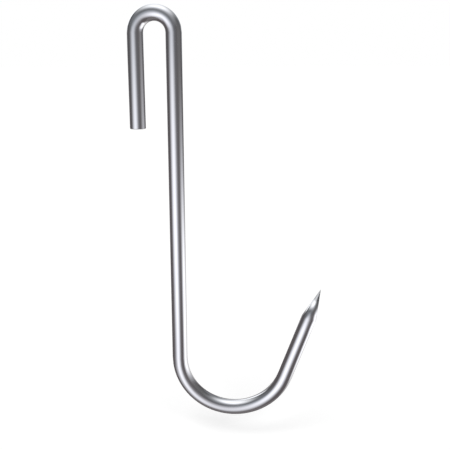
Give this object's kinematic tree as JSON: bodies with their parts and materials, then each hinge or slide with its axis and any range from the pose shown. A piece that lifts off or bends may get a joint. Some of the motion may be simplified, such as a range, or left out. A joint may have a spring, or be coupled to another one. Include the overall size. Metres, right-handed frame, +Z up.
{
  "type": "j-hook",
  "caption": "One-piece J-shaped rail hook bent from round bar, with a narrow loop that drops over a flat rail, a long shank and a wide open bend ending in a ground point.",
  "frame": {"origin": "rail seat: the top of the inside of the rail bend, on the bar's middle plane", "axes": "+Z up along the plumb shank, +X from the leg towards the point, +Y across the bar, away from a viewer who sees the J the right way round"},
  "size_m": [0.0983, 0.008, 0.217],
  "materials": {
    "polished_steel": "polished stainless steel bar with soft, slightly spread reflections"
  },
  "bodies": {
    "root": {"hook": "polished_steel"}
  },
  "joints": []
}
